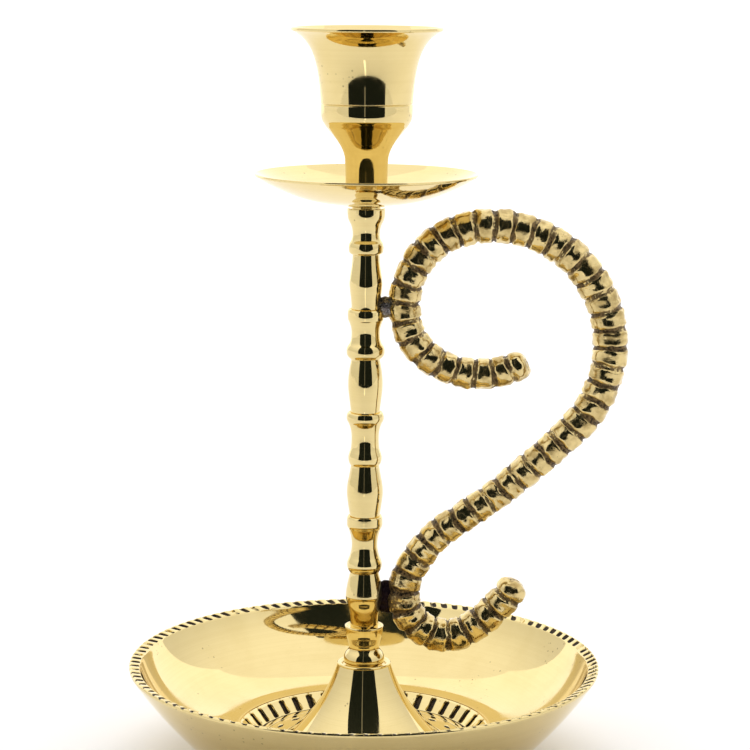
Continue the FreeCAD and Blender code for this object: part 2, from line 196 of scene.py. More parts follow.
def makeBrass(name, look):
    # warm metal: bright where it is clean, darker in smudges, nearly black where tarnish lies in a cut
    material, tree, shader = startMaterial(name)
    depth = addNode(tree, "ShaderNodeAttribute", attribute_name="tarnish").outputs["Fac"]
    wear = placeWear(tree, look)
    rings = placeGroup(tree, turningMarks, {"Lines per mm": look["linesPerMm"], "Strength": 1.0})
    dirt = placeGroup(tree, recessTarnish,
                      {"Depth": depth, "Grain": look["grain"], "Spread": look["spread"]})
    smudge = addMath(tree, "MULTIPLY", wear["Smudge"], look["smudgeShare"])
    clean = addBlend(tree, smudge, look["bright"], look["smudged"])
    ring = addMath(tree, "MULTIPLY", rings["Tint"], look["ringShare"])
    lined = addBlend(tree, ring, clean, look["ringColour"])
    spotted = addBlend(tree, wear["Speck"], lined, look["speckColour"])
    dark = addBlend(tree, dirt["Shade"], look["tarnishDeep"], look["tarnishPale"])
    colour = addBlend(tree, dirt["Mask"], spotted, dark)
    tree.links.new(colour, shader.inputs["Base Color"])
    roughest = look["roughness"] + look["roughSpan"]
    polish = addRange(tree, wear["Smudge"], 0.0, 1.0, look["roughness"], roughest)
    rough = addNode(tree, "ShaderNodeMix", {0: dirt["Mask"], 2: polish, 3: look["tarnishRoughness"]})
    tree.links.new(rough.outputs[0], shader.inputs["Roughness"])
    metal = addRange(tree, dirt["Mask"], 0.0, 1.0, 1.0, look["tarnishMetal"])
    tree.links.new(metal, shader.inputs["Metallic"])
    relief = addMath(tree, "ADD", addMath(tree, "MULTIPLY", rings["Height"], look["ringRelief"]),
                     addMath(tree, "MULTIPLY", wear["Scratch"], look["scratchRelief"]))
    relief = addMath(tree, "ADD", relief, addMath(tree, "MULTIPLY", dirt["Shade"], look["grainRelief"]))
    bump = addNode(tree, "ShaderNodeBump", {"Height": relief, "Distance": look["bumpDepth"]}).outputs[0]
    tree.links.new(bump, shader.inputs["Normal"])
    shader.inputs["Specular IOR Level"].default_value = look["edgeShine"]
    return material


polishedLook = {
    "bright": (0.79, 0.642, 0.308, 1), "smudged": (0.71, 0.56, 0.245, 1), "smudgeShare": 0.4,
    "ringColour": (0.66, 0.51, 0.22, 1), "ringShare": 0.16, "linesPerMm": 3.2, "ringRelief": 0.05,
    "smudgeScale": 70.0, "speckScale": 520.0, "speckAmount": 0.5, "speckColour": (0.10, 0.07, 0.03, 1),
    "roughness": 0.035, "roughSpan": 0.06, "scratchRelief": 0.04,
    "grain": 650.0, "spread": 0.35, "grainRelief": 0.0,
    "tarnishDeep": (0.012, 0.009, 0.006, 1), "tarnishPale": (0.06, 0.038, 0.018, 1),
    "tarnishRoughness": 0.55, "tarnishMetal": 0.15, "bumpDepth": 0.00002, "edgeShine": 0.2,
}
antiquedLook = dict(
    polishedLook, bright=(0.74, 0.585, 0.275, 1), smudged=(0.40, 0.285, 0.105, 1), smudgeShare=0.8,
    smudgeScale=260.0, speckScale=900.0, speckAmount=0.9, ringShare=0.0, ringRelief=0.0,
    roughness=0.08, roughSpan=0.14, scratchRelief=0.1, grain=1250.0, spread=1.7, grainRelief=0.6,
    tarnishDeep=(0.016, 0.010, 0.005, 1), tarnishPale=(0.25, 0.165, 0.07, 1),
    tarnishRoughness=0.5, tarnishMetal=0.45)
brightBrass = makeBrass("brightBrass", polishedLook)
antiquedBrass = makeBrass("antiquedBrass", antiquedLook)


def makePlainMetal(name, look):
    # steel and solder: mottled grey metal with a rough skin
    material, tree, shader = startMaterial(name)
    wear = placeWear(tree, look)
    depth = addNode(tree, "ShaderNodeAttribute", attribute_name="tarnish").outputs["Fac"]
    deepened = addMath(tree, "ADD", depth, look["dirt"])
    dirt = placeGroup(tree, recessTarnish,
                      {"Depth": deepened, "Grain": look["grain"], "Spread": look["spread"]})
    clean = addBlend(tree, wear["Smudge"], look["bright"], look["dull"])
    oxide = addBlend(tree, dirt["Mask"], clean, look["oxide"])
    spotted = addBlend(tree, wear["Speck"], oxide, look["speckColour"])
    tree.links.new(spotted, shader.inputs["Base Color"])
    roughest = look["roughness"] + look["roughSpan"]
    rough = addRange(tree, dirt["Mask"], 0.0, 1.0, look["roughness"], roughest)
    tree.links.new(rough, shader.inputs["Roughness"])
    shader.inputs["Metallic"].default_value = look["metallic"]
    relief = addMath(tree, "MULTIPLY", dirt["Shade"], look["relief"])
    bump = addNode(tree, "ShaderNodeBump", {"Height": relief, "Distance": look["bumpDepth"]}).outputs[0]
    tree.links.new(bump, shader.inputs["Normal"])
    return material


solderLook = {
    "bright": (0.30, 0.28, 0.27, 1), "dull": (0.12, 0.10, 0.10, 1), "oxide": (0.022, 0.012, 0.018, 1),
    "speckColour": (0.35, 0.30, 0.22, 1), "speckAmount": 0.5, "smudgeScale": 420.0, "speckScale": 700.0,
    "dirt": 0.0, "grain": 480.0, "spread": 1.6, "roughness": 0.24, "roughSpan": 0.25, "metallic": 0.85,
    "relief": 1.6, "bumpDepth": 0.0001,
}
steelLook = dict(
    solderLook, bright=(0.56, 0.55, 0.53, 1), dull=(0.42, 0.41, 0.39, 1), oxide=(0.16, 0.10, 0.06, 1),
    speckColour=(0.14, 0.07, 0.03, 1), dirt=0.26, roughness=0.28, metallic=1.0, relief=0.5)
oxidisedSolder = makePlainMetal("oxidisedSolder", solderLook)
plainSteel = makePlainMetal("plainSteel", steelLook)


# Modelling helpers

def startFresh():
    if bpy.context.object is not None and bpy.context.object.mode != "OBJECT":
        bpy.ops.object.mode_set(mode="OBJECT")
    bpy.ops.object.select_all(action="DESELECT")


def pickOnly(*pieces):
    startFresh()
    for piece in pieces:
        piece.select_set(True)
    bpy.context.view_layer.objects.active = pieces[0]


def smoothRun(points, gap):
    # Bezier spans through the points, with handles in line at each point
    spots = [Vector((radius, 0, height)) * mm for radius, height in points]
    slopes = []
    for index, spot in enumerate(spots):
        back = spots[max(index - 1, 0)] - spot
        ahead = spots[min(index + 1, len(spots) - 1)] - spot
        if back.length == 0 or ahead.length == 0:
            slopes.append((ahead - back).normalized())
            continue
        slope = ahead / ahead.length * back.length - back / back.length * ahead.length
        slopes.append(slope.normalized())
    line = [spots[0]]
    for index in range(len(spots) - 1):
        start, end = spots[index], spots[index + 1]
        reach = (end - start).length / 3
        count = max(2, math.ceil((end - start).length / gap) + 1)
        line += geometry.interpolate_bezier(
            start, start + slopes[index] * reach, end - slopes[index + 1] * reach, end, count)[1:]
    return line


def joinRuns(runs, gap, ease):
    # one outline from smooth runs, each corner between two runs eased by a small curve
    outline = smoothRun(runs[0], gap)
    clear = ease * 1.05  # points nearer the corner than this give way to the curve
    cornerPoints = 5
    for run in runs[1:]:
        line = smoothRun(run, gap)
        corner = line[0]
        while len(outline) > 2 and (outline[-1] - corner).length < clear:
            outline.pop()
        while len(line) > 1 and (line[0] - corner).length < clear:
            line.pop(0)
        start = corner + (outline[-1] - corner).normalized() * ease
        end = corner + (line[0] - corner).normalized() * ease
        outline += geometry.interpolate_bezier(
            start, (start + 2 * corner) / 3, (end + 2 * corner) / 3, end, cornerPoints)
        outline += line
    return outline


def drawOutline(name, outline, foot=0.0):
    # one vertex drawn out along the outline, in the plane through the axis
    startFresh()
    bpy.ops.mesh.primitive_plane_add(size=mm)
    piece = bpy.context.object
    piece.name = name
    piece.data.name = name
    bpy.ops.object.mode_set(mode="EDIT")
    bpy.ops.mesh.select_mode(type="VERT")
    bpy.ops.mesh.select_all(action="SELECT")
    bpy.ops.mesh.merge(type="CENTER")
    bpy.ops.transform.translate(value=outline[0] + Vector((0, 0, foot)))
    for here, there in zip(outline, outline[1:]):
        bpy.ops.mesh.extrude_region_move(TRANSFORM_OT_translate={"value": there - here})
    return piece


def closeOutline():
    # joins the outline's two open ends with an edge, and leaves no face inside it
    bpy.ops.mesh.select_all(action="DESELECT")
    bpy.ops.mesh.select_mode(type="VERT")
    bpy.ops.mesh.select_non_manifold(extend=False)
    bpy.ops.mesh.edge_face_add()
    bpy.ops.mesh.delete(type="ONLY_FACE")


def spinAll(steps, angle=fullTurn):
    bpy.ops.mesh.select_all(action="SELECT")
    bpy.ops.mesh.spin(steps=steps, angle=angle, center=(0, 0, 0), axis=(0, 0, 1))
    mergeAll()


def mergeAll():
    bpy.ops.mesh.select_all(action="SELECT")
    bpy.ops.mesh.remove_doubles(threshold=weldGap)
    bpy.ops.mesh.normals_make_consistent(inside=False)


def finishShape(piece, smoothDegrees=38):
    pickOnly(piece)
    bpy.ops.object.transform_apply(location=True, rotation=True, scale=True)
    bpy.ops.object.shade_smooth_by_angle(angle=math.radians(smoothDegrees))


def dress(piece, material, node):
    piece.data.materials.clear()
    piece.data.materials.append(material)
    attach(piece, "root")
    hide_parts(node)


def addTarnish(piece):
    # a value at each point that says how dark its tarnish is
    return piece.data.attributes.new("tarnish", "FLOAT", "POINT")


def setTarnish(piece, depthAt):
    layer = addTarnish(piece)
    for vertex, mark in zip(piece.data.vertices, layer.data):
        mark.value = depthAt(vertex.co)


def softStep(value, low, high):
    share = min(max((value - low) / (high - low), 0.0), 1.0)
    return share * share * (3 - 2 * share)


def flareRun(waist, swells, low, high, steps):
    # (radius, height) points of a smooth flare: each swell is its width at a height and how it grows upward
    points = []
    for step in range(steps + 1):
        height = low + (high - low) * step / steps
        swollen = sum(width * math.exp((height - level) / growth) for width, level, growth in swells)
        points.append((waist + swollen, height))
    return points


def cornerRuns(corners):
    # one straight run from each corner to the next
    return [list(pair) for pair in zip(corners, corners[1:])]


# Turned pieces: each has runs of (radius, height above its foot) in mm, from its hole up the outside

rodHole = 2.15  # radius of the hole that the tie rod runs through

turned = {
    "gap": 0.35 * mm, "ease": 0.12 * mm, "turns": 128,
    "pieces": {
        "bell_foot": {
            "name": "bellFoot", "runs": [
                [(23.3, 0), (24.3, 0)],
                [(24.3, 0), (23.94, 0.5)],
                flareRun(2.48, [(22.11, 0, -16.8)], 0.5, 23.6, 34),
                [(7.9, 23.6), (7.95, 23.95), (7.75, 24.2)],
                [(7.75, 24.2), (7.0, 24.2)],
                [(7.0, 24.2), (6.45, 23.7)],
                [(6.45, 23.7), (6.3, 23.2)],
                [(6.3, 23.2), (rodHole, 23.2)],
                [(rodHole, 23.2), (rodHole, 20.2)],
                [(rodHole, 20.2), (6.6, 20.2)],
                [(6.6, 20.2), (7.7, 18.4), (8.7, 16.0), (10.1, 13.2), (11.9, 10.4), (14.1, 7.7),
                 (16.6, 4.9), (19.6, 2.0), (22.2, 0.3)],
                [(22.2, 0.3), (23.3, 0)]]},
        "stem_spool_1": {
            "name": "spoolOne", "runs": [
                [(rodHole, 0), (5.3, 0)],
                [(5.3, 0), (5.85, 0.8), (6.08, 1.9), (5.95, 2.8), (5.55, 3.7), (5.0, 4.4), (4.55, 5.1),
                 (4.5, 5.7), (4.62, 6.6), (4.98, 7.8), (5.32, 8.9), (5.55, 10.3), (5.68, 11.6)],
                [(5.68, 11.6), (5.8, 11.9)],
                [(5.8, 11.9), (5.7, 12.2)],
                [(5.7, 12.2), (5.15, 12.2)],
                [(5.15, 12.2), (4.7, 11.7), (4.4, 11.6)],
                [(4.4, 11.6), (rodHole, 11.6)]]},
        "stem_barrel_1": {
            "name": "barrelOne", "runs": [
                [(rodHole, 0), (4.15, 0)],
                [(4.15, 0), (4.2, 1.6), (4.46, 4.2), (4.84, 6.6), (5.36, 8.4), (5.6, 9.7), (5.5, 11.0),
                 (5.26, 12.5), (5.02, 13.7), (4.72, 15.0), (4.42, 16.2), (4.3, 17.0)],
                [(4.3, 17.0), (rodHole, 17.0)]]},
        "stem_spool_2": {
            "name": "spoolTwo", "runs": [
                [(rodHole, 0), (4.3, 0)],
                [(4.3, 0), (4.75, 0.55), (5.12, 1.4), (5.22, 2.4), (5.02, 3.5), (4.55, 4.6)],
                [(4.55, 4.6), (4.15, 5.9), (3.9, 7.3), (3.86, 8.8), (4.08, 10.7), (4.45, 12.1),
                 (4.85, 13.3)],
                [(4.85, 13.3), (5.1, 13.7)],
                [(5.1, 13.7), (5.28, 14.2), (5.3, 15.3), (5.25, 16.6)],
                [(5.25, 16.6), (5.0, 17.1)],
                [(5.0, 17.1), (4.6, 16.6)],
                [(4.6, 16.6), (rodHole, 16.5)]]},
        "stem_barrel_2": {
            "name": "barrelTwo", "runs": [
                [(rodHole, 0), (4.45, 0)],
                [(4.45, 0), (4.52, 1.0), (4.85, 3.0), (5.18, 5.3), (5.38, 7.5), (5.25, 9.9), (4.85, 12.1),
                 (4.5, 14.0), (4.25, 15.4)],
                [(4.25, 15.4), (4.2, 16.0)],
                [(4.2, 16.0), (rodHole, 16.0)]]},
        "stem_spool_3": {
            "name": "spoolThree", "runs": [
                [(rodHole, 0), (4.4, 0)],
                [(4.4, 0), (4.75, 0.7), (4.95, 1.6), (4.93, 2.7), (4.7, 3.6)],
                [(4.7, 3.6), (4.3, 4.8), (4.1, 6.6), (4.08, 8.4), (4.24, 10.2), (4.6, 11.6), (5.0, 12.6)],
                [(5.0, 12.6), (5.25, 13.0)],
                [(5.25, 13.0), (5.48, 13.6), (5.48, 14.8), (5.3, 15.5)],
                [(5.3, 15.5), (5.0, 15.8)],
                [(5.0, 15.8), (4.55, 15.3)],
                [(4.55, 15.3), (rodHole, 15.2)]]},
        "stem_barrel_3": {
            "name": "barrelThree", "runs": [
                [(rodHole, 0), (4.3, 0)],
                [(4.3, 0), (4.35, 1.1), (4.55, 2.8), (4.78, 4.7), (5.0, 6.5), (5.12, 8.4), (5.05, 11.0),
                 (4.8, 13.1), (4.52, 14.8), (4.26, 16.0)],
                [(4.26, 16.0), (4.22, 16.6)],
                [(4.22, 16.6), (rodHole, 16.6)]]},
        "stem_spool_4": {
            "name": "spoolFour", "runs": [
                [(rodHole, 0), (4.7, 0)],
                [(4.7, 0), (5.15, 0.5), (5.5, 1.1), (5.62, 2.1), (5.5, 3.2), (5.2, 3.8)],
                [(5.2, 3.8), (4.7, 4.5), (4.4, 5.4), (4.2, 7.0), (4.32, 8.9), (4.7, 10.2), (5.05, 11.1)],
                [(5.05, 11.1), (5.25, 11.5)],
                [(5.25, 11.5), (5.33, 12.6), (5.3, 14.0)],
                [(5.3, 14.0), (5.0, 14.6)],
                [(5.0, 14.6), (4.45, 14.1)],
                [(4.45, 14.1), (rodHole, 14.0)]]},
        "stem_barrel_4": {
            "name": "barrelFour", "runs": [
                [(rodHole, 0), (4.2, 0)],
                [(4.2, 0), (4.22, 1.0), (4.4, 3.4), (4.68, 5.8), (4.87, 7.9), (4.62, 10.6), (4.28, 12.8),
                 (4.1, 14.4), (3.98, 16.0)],
                [(3.98, 16.0), (3.95, 16.7)],
                [(3.95, 16.7), (rodHole, 16.7)]]},
        "stem_spool_5": {
            "name": "spoolFive", "runs": [
                [(rodHole, 0), (4.5, 0)],
                [(4.5, 0), (4.95, 0.5), (5.1, 1.4), (5.08, 2.6), (4.85, 3.3)],
                [(4.85, 3.3), (4.35, 4.1), (4.05, 5.2), (4.0, 6.2), (4.2, 7.5), (4.5, 8.5), (4.95, 9.4),
                 (5.35, 10.4), (5.5, 11.6), (5.55, 13.0)],
                [(5.55, 13.0), (5.5, 13.4)],
                [(5.5, 13.4), (rodHole, 13.4)]]},
        "neck_collar": {
            "name": "neckCollar", "runs": [
                [(rodHole, 0), (3.9, 0)],
                [(3.9, 0), (4.2, 0.5)],
                [(4.2, 0.5), (4.15, 0.95)],
                [(4.15, 0.95), (3.7, 1.3)],
                [(3.7, 1.3), (rodHole, 1.3)]]},
        "drip_pan": {
            "name": "dripPan", "runs": [
                [(rodHole, 0), (6.6, 0)],
                [(6.6, 0), (9.5, 0.5), (14.4, 1.25), (19.4, 2.5), (24.4, 4.45), (29.4, 6.9), (32.2, 8.6)],
                [(32.2, 8.6), (32.5, 9.05), (32.35, 9.4)],
                [(32.35, 9.4), (31.9, 9.4)],
                [(31.9, 9.4), (29.0, 7.75), (24.0, 5.4), (19.0, 3.5), (14.0, 2.25), (9.5, 1.45),
                 (7.0, 1.0)],
                [(7.0, 1.0), (rodHole, 1.0)]]},
        "candle_cup": {
            "name": "candleCup", "runs": [
                [(0, 18.6), (rodHole, 18.6)],
                [(rodHole, 18.6), (rodHole, 0)],
                [(rodHole, 0), (6.2, 0)],
                [(6.2, 0), (6.12, 4.0), (6.15, 9.0), (6.3, 12.0), (6.62, 13.9), (7.4, 15.8), (8.45, 17.5),
                 (9.75, 19.2), (11.2, 21.0), (11.95, 21.9), (12.5, 22.8)],
                [(12.5, 22.8), (12.95, 23.6), (13.2, 24.6), (13.38, 28.1)],
                [(13.38, 28.1), (13.12, 28.35)],
                [(13.12, 28.35), (13.42, 28.6)],
                flareRun(13.04, [(2.11, 49.15, 1.7), (6.63, 49.15, 7.0)], 28.6, 49.15, 40),
                [(21.78, 49.15), (22.0, 49.5), (21.9, 50.0)],
                [(21.9, 50.0), (21.6, 50.2)],
                [(21.6, 50.2), (20.9, 50.1)],
                [(20.9, 50.1), (19.3, 49.0), (17.2, 47.0), (15.3, 44.3), (13.5, 41.2), (12.0, 38.9),
                 (11.25, 37.4)],
                [(11.25, 37.4), (11.25, 23.8)],
                [(11.25, 23.8), (10.9, 23.6)],
                [(10.9, 23.6), (0, 23.6)]]},
    },
}


def makeTurned(node, recipe):
    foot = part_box(node)[0].z
    outline = joinRuns(recipe["runs"], turned["gap"], turned["ease"])
    piece = drawOutline(recipe["name"], outline, foot)
    if outline[0].x > 0:  # the cup's hole is blind, so its outline starts and ends on the axis
        closeOutline()
    spinAll(turned["turns"])
    finishShape(piece)
    dress(piece, brightBrass, node)


for node, recipe in turned["pieces"].items():
    makeTurned(node, recipe)
print("turned pieces made")


# Dish: a turned body and bowl wall, a rim band of scoops and a well band of slots, bridged into one

dish = {
    "turns": 220, "gap": 0.8 * mm, "ease": 0.3 * mm, "seam": 0.08, "arcSteps": 24, "smoothDegrees": 34,
    "outerSag": 1.4, "innerSag": 5.4, "bowlStart": 0.6, "bodyCoarser": 1.5, "footCorner": (44.6, 0.6),
    # the foot ring, the underside, the rod's hole and the boss, up to the floor
    "corners": [(44.0, 0.0), (40.0, 0.0), (38.8, 3.8), (11.4, 3.8), (10.4, 7.8), (rodHole, 7.8),
                (rodHole, 9.4), (12.0, 9.4), (13.0, 5.4)],
    "rimScoops": 114, "rimColumns": 14, "rimGap": 0.3 * mm, "rimEase": 0.25 * mm,
    "rimOuter": (69.93, 28.9), "rimInner": (66.62, 28.6),
    "rimCrest": [(70.0, 29.45), (69.55, 30.0), (66.95, 29.2)],
    "wellSectors": 22, "wellColumns": 28, "wellInner": (24.2, 5.4), "wellOuter": (37.35, 9.2),
    "slopeFoot": (33.3, 5.4), "slopeTop": (36.8, 8.9), "slopeSteps": 14,
    "bridgeReach": 0.4,
    # scoops in the rim: size, where a cut fades in or wraps over the brink, and how its tarnish varies
    "scoop": {
        "depth": 0.75, "half": 1.25, "slant": 30, "slantShare": 0.9, "middle": 68.35, "reach": 1.75,
        "taper": 0.6, "lean": 0.35, "narrowest": 0.01,
        "brink": 69.3, "brinkPull": 0.8, "top": 30.0, "overBrink": (0.6, 1.2), "pullIn": 0.25,
        "pullRange": (0.6, 1.5), "fadeIn": (66.62, 67.2), "fadeUp": (28.95, 29.4), "edge": (68.9, 69.7),
        "edgeShallower": 0.3, "stain": 2.4, "stainEdgeLoss": 1.3,
        "unevenScale": 210.0, "unevenBase": 0.8, "unevenSwing": 0.9, "unevenDip": 0.25,
    },
    # cuts in the well: slots, leaves, and lines as (radius, half width, depth, tarnish)
    "well": {
        "floorRows": [24.2, 25.2, 26.2, 26.8, 27.1, 27.35, 27.6, 27.8, 28.0, 28.2, 28.4, 28.65, 28.9, 29.2,
                      29.8, 30.4, 30.5, 30.6, 30.7, 30.8, 31.5, 32.3, 32.5, 32.65, 32.85, 33.05, 33.2,
                      33.3],
        "slotHalf": 1.1, "slotDepth": 0.85, "slotFoot": 0.02, "slotLength": 5.25, "slotRound": 1.1,
        "slotWall": 3.4, "slotEnd": 1.6, "slotTarnish": 1.4,
        "lines": [(32.85, 0.36, 0.32, 1.6), (30.6, 0.17, 0.14, 0.75)],
        "leafRadius": 28.0, "leafLength": 3.7, "leafWidth": 1.4, "leafDepth": 0.4, "leafWall": 1.8,
        "leafTarnish": 2.2,
    },
}


def sagArc(start, end, sag, steps):
    # points of a circular arc that bulges by sag to the right of the way from start to end
    begin, finish = Vector(start), Vector(end)
    chord = finish - begin
    right = Vector((chord.y, -chord.x)).normalized()
    radius = (chord.length / 2) ** 2 / (2 * sag) + sag / 2
    centre = (begin + finish) / 2 + right * (sag - radius)
    first = begin - centre
    sweep = 2 * math.asin(chord.length / 2 / radius)
    return [tuple(centre + Matrix.Rotation(sweep * step / steps, 2) @ first) for step in range(steps + 1)]


def stepAside(point, towards, distance):
    # a point a little way from point, towards another
    way = Vector(towards) - Vector(point)
    return tuple(Vector(point) + way.normalized() * distance)


def makeBowl():
    # the smooth wall between the well's band and the rim's band
    bowlArc = sagArc(dish["slopeTop"], dish["rimInner"], dish["innerSag"], dish["arcSteps"])
    start = stepAside(dish["wellOuter"], bowlArc[2], dish["seam"])
    line = [start] + [point for point in bowlArc if point[0] > start[0] + dish["bowlStart"]]
    line[-1] = stepAside(dish["rimInner"], bowlArc[-2], dish["seam"])
    drawOutline("bowlWall", smoothRun(line, dish["gap"]))
    spinAll(dish["turns"])
    return bpy.context.object


def makeBody():
    # the outside from the rim down, the underside and the boss, up to the well's floor
    outerArc = sagArc(dish["footCorner"], dish["rimOuter"], dish["outerSag"], dish["arcSteps"])[::-1]
    start = stepAside(dish["rimOuter"], outerArc[1], dish["seam"])
    floorEnd = (dish["wellInner"][0] - dish["seam"], dish["wellInner"][1] - dish["seam"] / 2)
    runs = [[start] + outerArc[1:]] + cornerRuns([dish["footCorner"], *dish["corners"], floorEnd])
    drawOutline("dishBody", joinRuns(runs, dish["gap"] * dish["bodyCoarser"], dish["ease"]))
    spinAll(dish["turns"])
    return bpy.context.object


def repeatSector(count):
    # copies the one sector round the axis
    bpy.ops.object.mode_set(mode="EDIT")
    bpy.ops.mesh.select_all(action="SELECT")
    bpy.ops.mesh.spin(steps=count - 1, angle=fullTurn * (count - 1) / count, dupli=True,
                      center=(0, 0, 0), axis=(0, 0, 1))
    mergeAll()
    bpy.ops.object.mode_set(mode="OBJECT")


def makeRim():
    # the band slopes a little inwards, and each scoop runs slantwise across it
    scoop = dish["scoop"]
    runs = cornerRuns([dish["rimOuter"], *dish["rimCrest"], dish["rimInner"]])
    piece = drawOutline("rimBand", joinRuns(runs, dish["rimGap"], dish["rimEase"]))
    width = fullTurn / dish["rimScoops"]
    spinAll(dish["rimColumns"], width)
    bpy.ops.object.mode_set(mode="OBJECT")
    layer = addTarnish(piece)
    slant = math.tan(math.radians(scoop["slant"]))
    for vertex, mark in zip(piece.data.vertices, layer.data):
        radius = vertex.co.xy.length
        height = vertex.co.z / mm
        side = (math.atan2(vertex.co.y, vertex.co.x) % width - width / 2) * radius / mm
        across = radius / mm - scoop["middle"] + scoop["brinkPull"] * max(0.0, radius / mm - scoop["brink"])
        across += max(0.0, scoop["top"] - height) * softStep(across, *scoop["overBrink"])
        reach = max(0.0, 1 - scoop["taper"] * (across / scoop["reach"]) ** 2)
        half = scoop["half"] * math.sqrt(reach)
        offset = (side - across * slant * scoop["slantShare"]) / max(half, scoop["narrowest"])
        if abs(offset) < 1 and height > scoop["fadeUp"][0]:
            deep = (1 - offset * offset) * (1 + scoop["lean"] * offset)
            fade = softStep(radius / mm, *scoop["fadeIn"])
            high = softStep(height, *scoop["fadeUp"])
            edge = softStep(radius / mm, *scoop["edge"])
            sink = scoop["depth"] * deep * fade * high * (1 - scoop["edgeShallower"] * edge) * mm
            outward = vertex.co.xy.normalized()
            vertex.co.z -= sink
            vertex.co.xy -= outward * sink * scoop["pullIn"] * softStep(across, *scoop["pullRange"])
            stain = scoop["stain"] - scoop["stainEdgeLoss"] * edge
            mark.value = min(1.0, deep * fade * high * stain)
    repeatSector(dish["rimScoops"])
    for vertex, mark in zip(piece.data.vertices, piece.data.attributes["tarnish"].data):
        uneven = noise.noise(vertex.co * scoop["unevenScale"])
        mark.value *= min(1.0, max(0.0, scoop["unevenBase"] + scoop["unevenSwing"] * uneven))
        vertex.co.z += min(0.0, uneven) * scoop["unevenDip"] * mark.value * mm
    return piece


def wellOutline():
    # rows across the flat floor, then rows up the slope
    well = dish["well"]
    foot, top = Vector(dish["slopeFoot"]), Vector(dish["slopeTop"])
    steps = dish["slopeSteps"]
    rows = [(radius, foot.y) for radius in well["floorRows"]]
    rows += [tuple(foot + (top - foot) * step / steps) for step in range(1, steps + 1)]
    rows.append(dish["wellOuter"])
    return [Vector((radius, 0, height)) * mm for radius, height in rows]


def makeWell():
    # one sector holds two slots up the slope and one leaf on the floor
    well = dish["well"]
    piece = drawOutline("wellBand", wellOutline())
    width = fullTurn / dish["wellSectors"]
    spinAll(dish["wellColumns"], width)
    bpy.ops.object.mode_set(mode="OBJECT")
    layer = addTarnish(piece)
    floorEdge = dish["slopeFoot"][0] + 0.01
    for vertex, mark in zip(piece.data.vertices, layer.data):
        radius = vertex.co.xy.length / mm
        angle = math.atan2(vertex.co.y, vertex.co.x)
        sink = 0.0
        along = (angle % width - width / 2) * radius
        leaf = 1 - (along / (well["leafLength"] / 2)) ** 2
        if leaf > 0:
            share = 1 - abs(radius - well["leafRadius"]) / (well["leafWidth"] / 2 * leaf)
            if share > 0:
                sink = well["leafDepth"] * min(1, share * well["leafWall"])
                mark.value = min(1.0, share * well["leafTarnish"])
        for centre, half, depth, tarnish in well["lines"]:
            share = 1 - ((radius - centre) / half) ** 2
            if share > 0 and radius < floorEdge:
                sink = max(sink, depth * share)
                mark.value = max(mark.value, min(1.0, share * tarnish))
        vertex.co.z -= sink * mm
        climb = (radius - dish["slopeFoot"][0]) * math.sqrt(2)
        slotAngle = (angle % (width / 2)) - width / 4
        side = abs(slotAngle * radius) / well["slotHalf"]
        topEnd = well["slotLength"] - well["slotRound"] * side * side
        share = min(1.0, max(0.0, 1 - side) * well["slotWall"])
        share *= min(1.0, max(0.0, topEnd - climb) * well["slotEnd"])
        if climb > well["slotFoot"] and share > 0:
            push = well["slotDepth"] * share * mm / math.sqrt(2)
            outward = vertex.co.xy.normalized()
            vertex.co.xy += outward * push
            vertex.co.z -= push
            mark.value = max(mark.value, min(1.0, share * well["slotTarnish"]))
    repeatSector(dish["wellSectors"])
    return piece


def bridgeRing(radius, height):
    # bridges the two open loops that lie close to a ring
    bpy.ops.mesh.select_all(action="DESELECT")
    bpy.ops.object.mode_set(mode="OBJECT")
    mesh = bpy.context.object.data
    uses = {}
    for polygon in mesh.polygons:
        for key in polygon.edge_keys:
            uses[key] = uses.get(key, 0) + 1
    ring = Vector((radius, height)) * mm
    for edge in mesh.edges:
        if uses[edge.key] == 1:
            middle = (mesh.vertices[edge.vertices[0]].co + mesh.vertices[edge.vertices[1]].co) / 2
            away = (Vector((middle.xy.length, middle.z)) - ring).length
            edge.select = away < dish["bridgeReach"] * mm
    bpy.ops.object.mode_set(mode="EDIT")
    bpy.ops.mesh.select_mode(type="EDGE")
    bpy.ops.mesh.bridge_edge_loops()


def makeDish():
    pickOnly(makeBody(), makeBowl(), makeRim(), makeWell())
    bpy.ops.object.join()
    piece = bpy.context.object
    piece.name = "dishBowl"
    piece.data.name = "dishBowl"
    bpy.ops.object.mode_set(mode="EDIT")
    for ring in ("rimOuter", "rimInner", "wellInner", "wellOuter"):
        bridgeRing(*dish[ring])
    bpy.ops.mesh.select_all(action="SELECT")
    bpy.ops.mesh.normals_make_consistent(inside=False)
    finishShape(piece, dish["smoothDegrees"])
    dress(piece, brightBrass, "dish")


makeDish()
print("dish made")


# Handle: one rib repeated along a straight bar, bent to the S and dented like a sand casting

